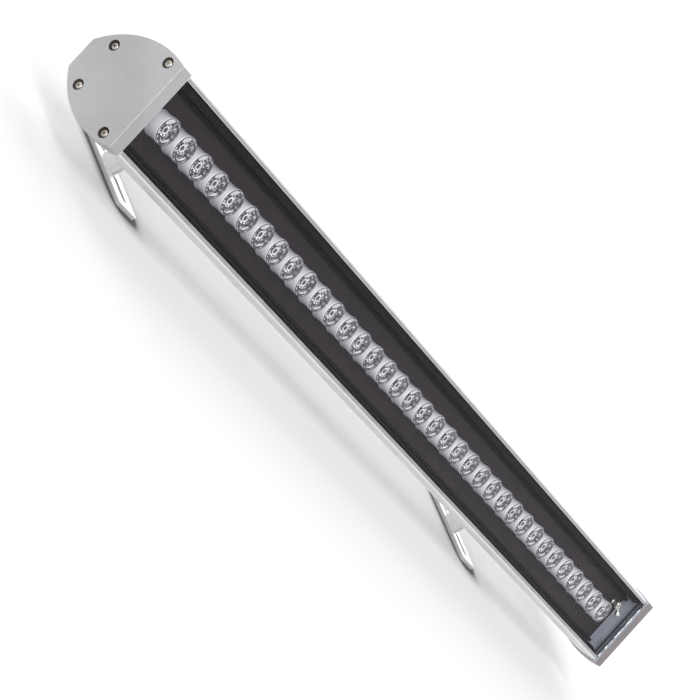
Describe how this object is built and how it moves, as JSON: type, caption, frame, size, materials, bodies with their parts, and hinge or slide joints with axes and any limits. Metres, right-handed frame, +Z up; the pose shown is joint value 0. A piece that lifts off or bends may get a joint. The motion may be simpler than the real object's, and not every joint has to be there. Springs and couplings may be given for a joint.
{
  "type": "outdoor wall washer light",
  "caption": "Long sealed linear flood light with a row of round lenses under flat glass, bulged aluminium housing, screwed end caps and tilting slotted feet.",
  "frame": {"origin": "middle of the base of the part's box, on the floor that the feet stand on", "axes": "+Z up, +X along the lamp from the near end to the cable gland end, -Y the side that the light goes out to"},
  "size_m": [1.022, 0.1158, 0.0978],
  "materials": {
    "anodised_housing": "satin anodised, black inside",
    "cap_grey": "fine satin silver coating",
    "silicone": "translucent pale grey silicone",
    "stainless": "plain stainless",
    "clear_glass": "clear, polished",
    "black_rubber": "matte",
    "black_board": "black solder mask",
    "emitter": "clear dome over yellow phosphor",
    "frosted_plastic": "frosted",
    "lens_clear": "clear moulded acrylic",
    "case_grey": "plain",
    "terminal_plastic": "moulded",
    "lead_brown": "insulation",
    "lead_red": "insulation",
    "nickel": "nickel plated brass",
    "black_plastic": "moulded",
    "foot_aluminium": "plain satin"
  },
  "bodies": {
    "lamp": {"housing": "anodised_housing", "cap_near": "cap_grey", "cap_far": "cap_grey", "gasket_near": "silicone", "gasket_far": "silicone", "cap_screws_near": "stainless", "cap_screws_far": "stainless", "glass": "clear_glass", "glass_tape": "black_rubber", "led_board": "black_board", "emitters": "emitter", "lens_holders": "frosted_plastic", "lenses": "lens_clear", "lead_grommet": "black_rubber", "lead_plug": "frosted_plastic", "driver": "case_grey", "driver_screws": "stainless", "terminal_block": "terminal_plastic", "supply_leads": "lead_brown", "led_leads": "lead_red", "gland_body": "nickel", "gland_washer": "black_rubber", "gland_locknut": "nickel", "gland_nut": "nickel", "gland_seal": "black_rubber", "vent_plug": "black_plastic"},
    "bracket_near": {"arm_near": "foot_aluminium", "clamp_bolts_near": "stainless", "clamp_washers_near": "stainless", "clamp_nuts_near": "stainless"},
    "stand_near": {"foot_near": "foot_aluminium", "tilt_bolt_near": "stainless", "tilt_washers_near": "stainless", "friction_washer_near": "black_plastic", "tilt_nut_near": "stainless"},
    "bracket_far": {"arm_far": "foot_aluminium", "clamp_bolts_far": "stainless", "clamp_washers_far": "stainless", "clamp_nuts_far": "stainless"},
    "stand_far": {"foot_far": "foot_aluminium", "tilt_bolt_far": "stainless", "tilt_washers_far": "stainless", "friction_washer_far": "black_plastic", "tilt_nut_far": "stainless"}
  },
  "joints": [
    {"name": "near_foot_slide", "type": "slide", "parent": "lamp", "child": "bracket_near", "axis": [1, 0, 0], "range_m": [-0.09, 0.2]},
    {"name": "near_foot_tilt", "type": "hinge", "parent": "bracket_near", "child": "stand_near", "pos_m": [-0.393, 0.01743, 0.0197], "axis": [1, 0, 0], "range_deg": [-22, 98]},
    {"name": "far_foot_slide", "type": "slide", "parent": "lamp", "child": "bracket_far", "axis": [1, 0, 0], "range_m": [-0.2, 0.15]},
    {"name": "far_foot_tilt", "type": "hinge", "parent": "bracket_far", "child": "stand_far", "pos_m": [0.2725, 0.01743, 0.0197], "axis": [1, 0, 0], "range_deg": [-22, 98]}
  ],
  "couplings": [
    {"joint": "far_foot_tilt", "follows": "near_foot_tilt", "ratio": 1}
  ]
}
